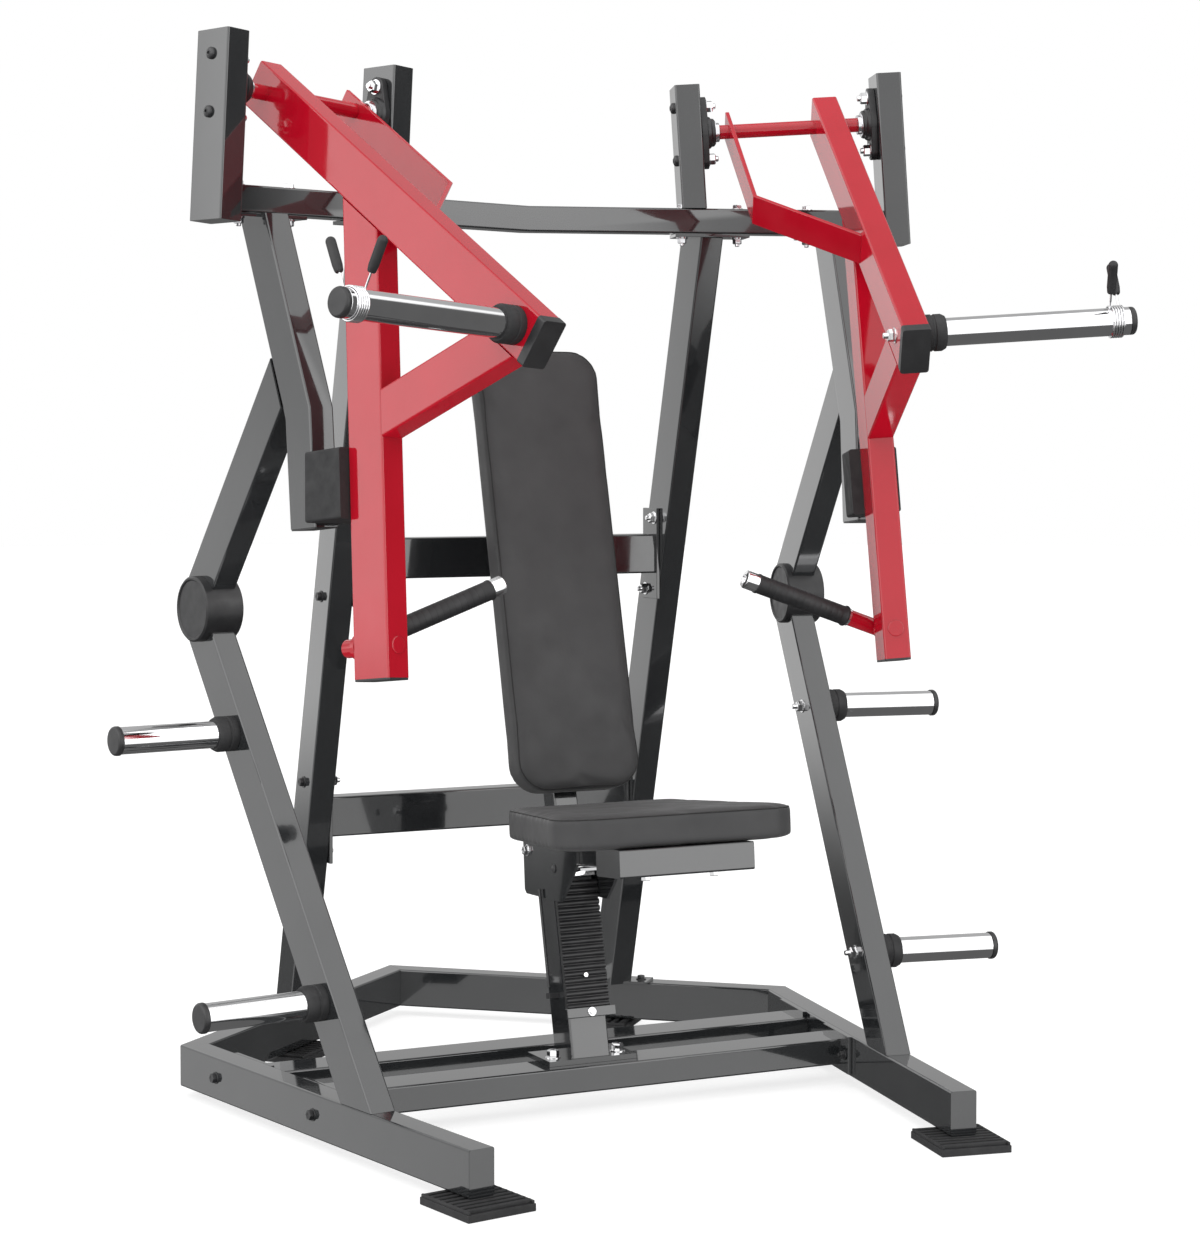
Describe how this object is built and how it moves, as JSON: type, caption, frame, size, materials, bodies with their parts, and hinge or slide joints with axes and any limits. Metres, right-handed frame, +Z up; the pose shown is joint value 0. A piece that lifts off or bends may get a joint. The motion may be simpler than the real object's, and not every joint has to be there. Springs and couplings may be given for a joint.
{
  "type": "chest press machine",
  "caption": "Plate-loaded chest press with two independent converging arms, plate horns, an upright back pad and a height-adjustable seat.",
  "frame": {"origin": "on the floor at the centre of the machine's footprint box", "axes": "+X to the machine's right as seen by someone facing its front, -Y out of the front, +Z up"},
  "size_m": [1.7578, 1.7484, 1.9964],
  "materials": {
    "frame_paint": "gloss dark gunmetal",
    "arm_paint": "gloss red",
    "chrome": "polished",
    "rubber": "matte black",
    "grip_rubber": "fine-textured matte black",
    "casting": "satin black",
    "upholstery": "matte charcoal vinyl"
  },
  "bodies": {
    "frame": {"front_cross_tube": "frame_paint", "middle_cross_tube": "frame_paint", "top_beam": "frame_paint", "upper_rear_cross": "frame_paint", "lower_rear_cross": "frame_paint", "seat_post": "frame_paint", "seat_rack": "casting", "back_pad": "upholstery", "back_frame": "frame_paint", "base_rail_left": "frame_paint", "rear_base_beam_left": "frame_paint", "front_foot_left": "rubber", "rear_foot_left": "rubber", "lower_leg_left": "frame_paint", "knee_hub_left": "casting", "upper_leg_left": "frame_paint", "stop_post_left": "frame_paint", "rear_upright_left": "frame_paint", "outer_post_left": "frame_paint", "inner_post_left": "frame_paint", "outer_bearing_left": "casting", "inner_bearing_left": "casting", "stop_bumper_left": "rubber", "upper_storage_horn_left": "chrome", "lower_storage_horn_left": "chrome", "base_rail_right": "frame_paint", "rear_base_beam_right": "frame_paint", "front_foot_right": "rubber", "rear_foot_right": "rubber", "lower_leg_right": "frame_paint", "knee_hub_right": "casting", "upper_leg_right": "frame_paint", "stop_post_right": "frame_paint", "rear_upright_right": "frame_paint", "outer_post_right": "frame_paint", "inner_post_right": "frame_paint", "outer_bearing_right": "casting", "inner_bearing_right": "casting", "stop_bumper_right": "rubber", "upper_storage_horn_right": "chrome", "lower_storage_horn_right": "chrome"},
    "left_arm": {"arm_beam_left": "arm_paint", "arm_lever_left": "arm_paint", "arm_brace_left": "arm_paint", "arm_link_left": "arm_paint", "arm_horn_left": "chrome", "handle_left": "grip_rubber"},
    "left_clip": {"spring_clip_left": "chrome"},
    "right_arm": {"arm_beam_right": "arm_paint", "arm_lever_right": "arm_paint", "arm_brace_right": "arm_paint", "arm_link_right": "arm_paint", "arm_horn_right": "chrome", "handle_right": "grip_rubber"},
    "right_clip": {"spring_clip_right": "chrome"},
    "seat": {"seat_pad": "upholstery", "seat_beam": "frame_paint", "seat_carriage": "frame_paint"},
    "latch": {"seat_latch": "chrome"}
  },
  "joints": [
    {"name": "left_arm_pivot", "type": "hinge", "parent": "frame", "child": "left_arm", "pos_m": [-0.6726, -0.07785, 1.8984], "axis": [-0.9357, -0.3469, 0.0638], "range_deg": [0, 45]},
    {"name": "left_clip_slide", "type": "slide", "parent": "left_arm", "child": "left_clip", "axis": [-0.9357, -0.3469, 0.0638], "range_m": [0, 0.09]},
    {"name": "right_arm_pivot", "type": "hinge", "parent": "frame", "child": "right_arm", "pos_m": [0.6726, -0.07785, 1.8984], "axis": [-0.9357, 0.3469, -0.0638], "range_deg": [0, 45]},
    {"name": "right_clip_slide", "type": "slide", "parent": "right_arm", "child": "right_clip", "axis": [0.9357, -0.3469, 0.0638], "range_m": [0, 0.09]},
    {"name": "seat_height", "type": "slide", "parent": "frame", "child": "seat", "axis": [0, -0.2317, -0.9728], "range_m": [0, 0.2]},
    {"name": "seat_latch_pivot", "type": "hinge", "parent": "seat", "child": "latch", "pos_m": [0, -0.10704, 0.45203], "axis": [-1, 0, 0], "range_deg": [0, 8], "stiffness_Nm_per_rad": 1.5, "springref_deg": -11.46}
  ]
}
